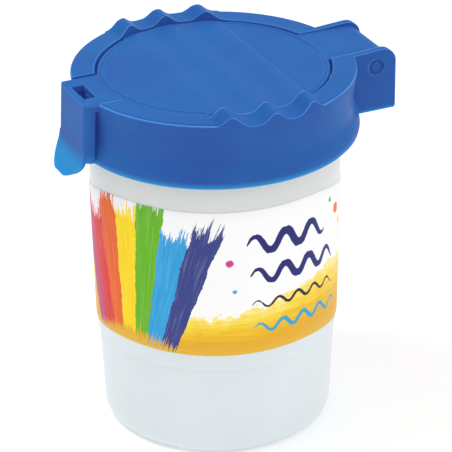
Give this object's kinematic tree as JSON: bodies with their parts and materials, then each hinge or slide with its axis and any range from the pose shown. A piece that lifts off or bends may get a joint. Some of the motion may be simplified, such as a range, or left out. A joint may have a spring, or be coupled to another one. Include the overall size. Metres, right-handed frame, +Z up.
{
  "type": "paint cup with lid",
  "caption": "Round paint cup with a screw-on collar that holds brushes across wavy rests, a spill guard funnel inside and a flip lid with a hinge and a snap latch.",
  "frame": {"origin": "centre of the cup's underside, on the surface it stands on", "axes": "+Z up along the cup's axis, +X toward the lid hinge, -X toward the latch, +Y along the brush rests"},
  "size_m": [0.0941, 0.0782, 0.1046],
  "materials": {
    "cup_plastic": "translucent, milky",
    "label_film": "printed film",
    "guard_plastic": "translucent, milky",
    "collar_plastic": "satin gloss, slightly translucent",
    "lid_plastic": "satin gloss, slightly translucent"
  },
  "bodies": {
    "cup_body": {"cup": "cup_plastic", "label_wrap": "label_film"},
    "guard_body": {"spill_guard": "guard_plastic"},
    "collar_body": {"collar": "collar_plastic"},
    "lid_body": {"flip_lid": "lid_plastic"}
  },
  "joints": [
    {"name": "guard_lift", "type": "slide", "parent": "cup_body", "child": "guard_body", "axis": [0, 0, 1], "range_m": [0, 0.0061]},
    {"name": "collar_turn", "type": "hinge", "parent": "guard_body", "child": "collar_body", "pos_m": [0, 0, 0.0922], "axis": [0, 0, 1], "range_deg": [0, 180]},
    {"name": "lid_hinge", "type": "hinge", "parent": "collar_body", "child": "lid_body", "pos_m": [0.043, 0, 0.0978], "axis": [0, 1, 0], "range_deg": [0, 260]}
  ],
  "couplings": [
    {"joint": "guard_lift", "follows": "collar_turn", "m_per_rad": 0.0019098}
  ]
}
